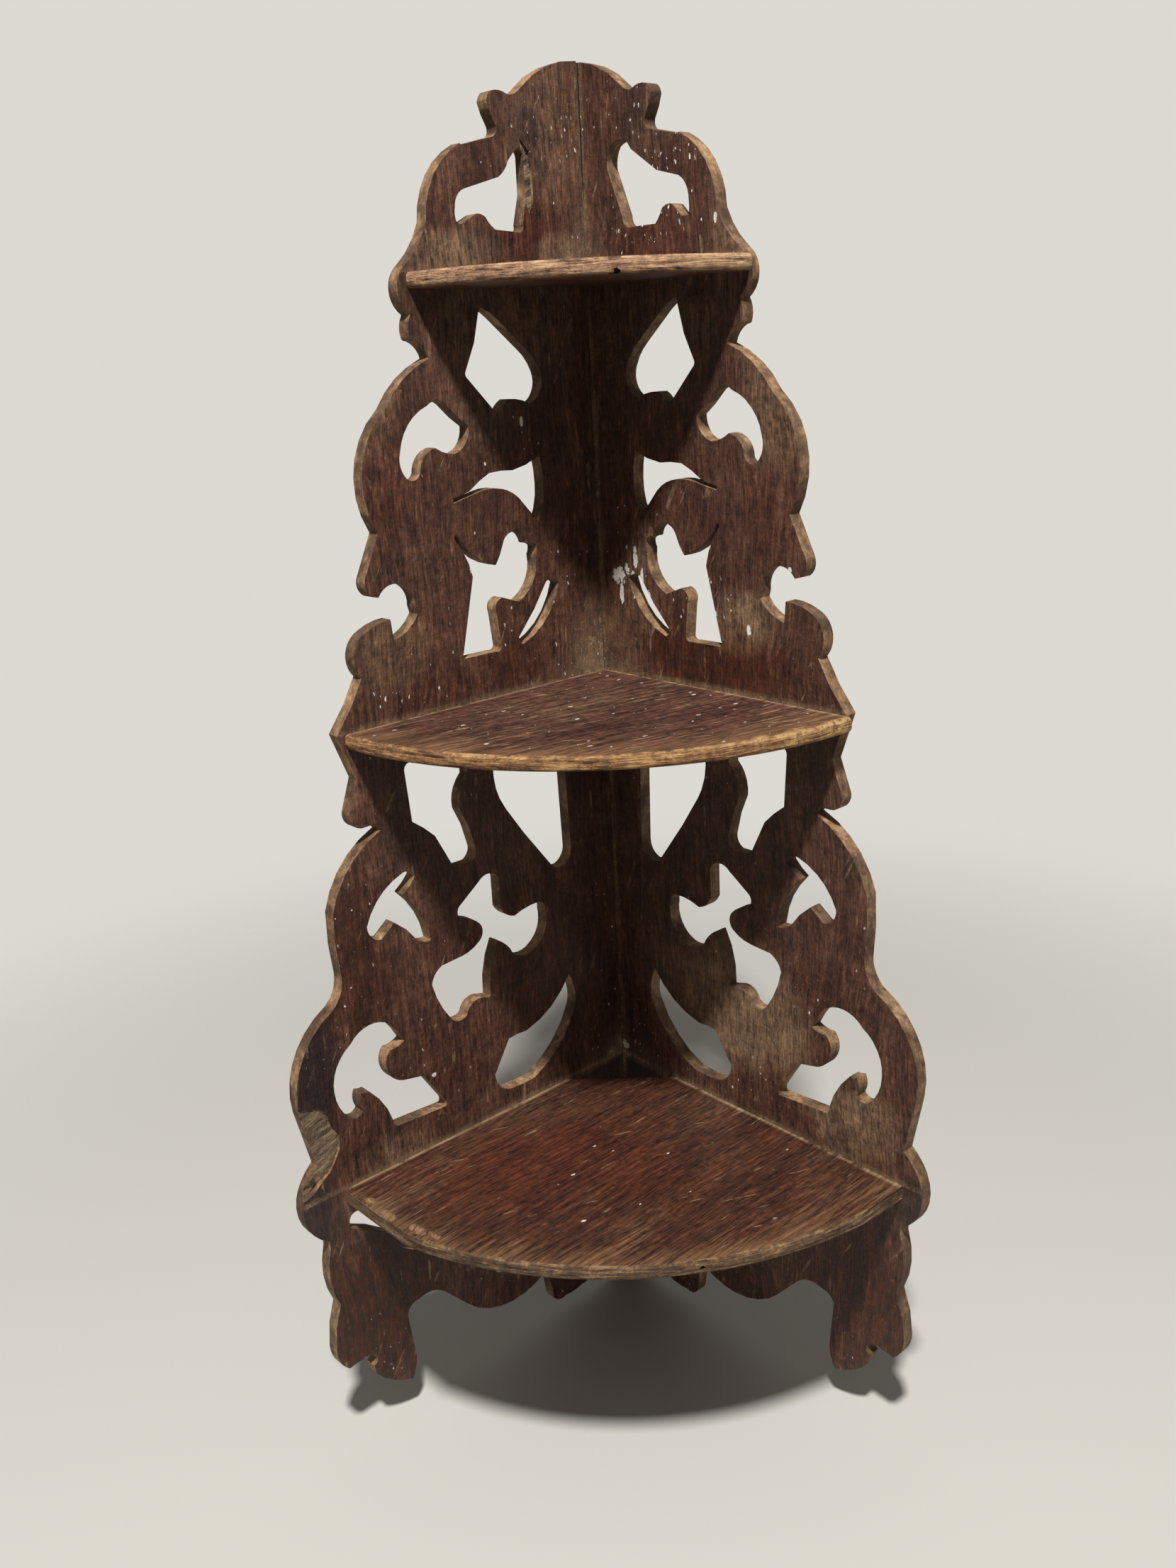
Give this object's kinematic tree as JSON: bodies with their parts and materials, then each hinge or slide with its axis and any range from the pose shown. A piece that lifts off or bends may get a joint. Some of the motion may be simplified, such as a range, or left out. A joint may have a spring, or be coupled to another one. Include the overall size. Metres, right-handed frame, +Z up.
{
  "type": "corner wall shelf",
  "caption": "Wooden corner shelf: pierced scrollwork side panels at a right angle with quarter-round shelves that widen towards the foot.",
  "frame": {"origin": "the corner of the two walls, at the height of the panels' lowest point", "axes": "+Z up, the left wall is the plane X = 0 and the right wall the plane Y = 0, the shelves reach towards +X and -Y"},
  "size_m": [0.2384, 0.2464, 0.749],
  "materials": {
    "panel_wood": "dark red-brown stain and worn thin varnish",
    "shelf_wood": "red-brown stain, scratched, worn pale on the round edges",
    "nail_steel": "dull steel wire nails"
  },
  "bodies": {
    "root": {"left_fret_panel": "panel_wood", "right_fret_panel": "panel_wood", "top_shelf": "shelf_wood", "middle_shelf": "shelf_wood", "bottom_shelf": "shelf_wood", "seam_nails_group": "nail_steel", "top_shelf_nails": "nail_steel", "middle_shelf_nails": "nail_steel", "bottom_shelf_nails": "nail_steel"}
  },
  "joints": []
}
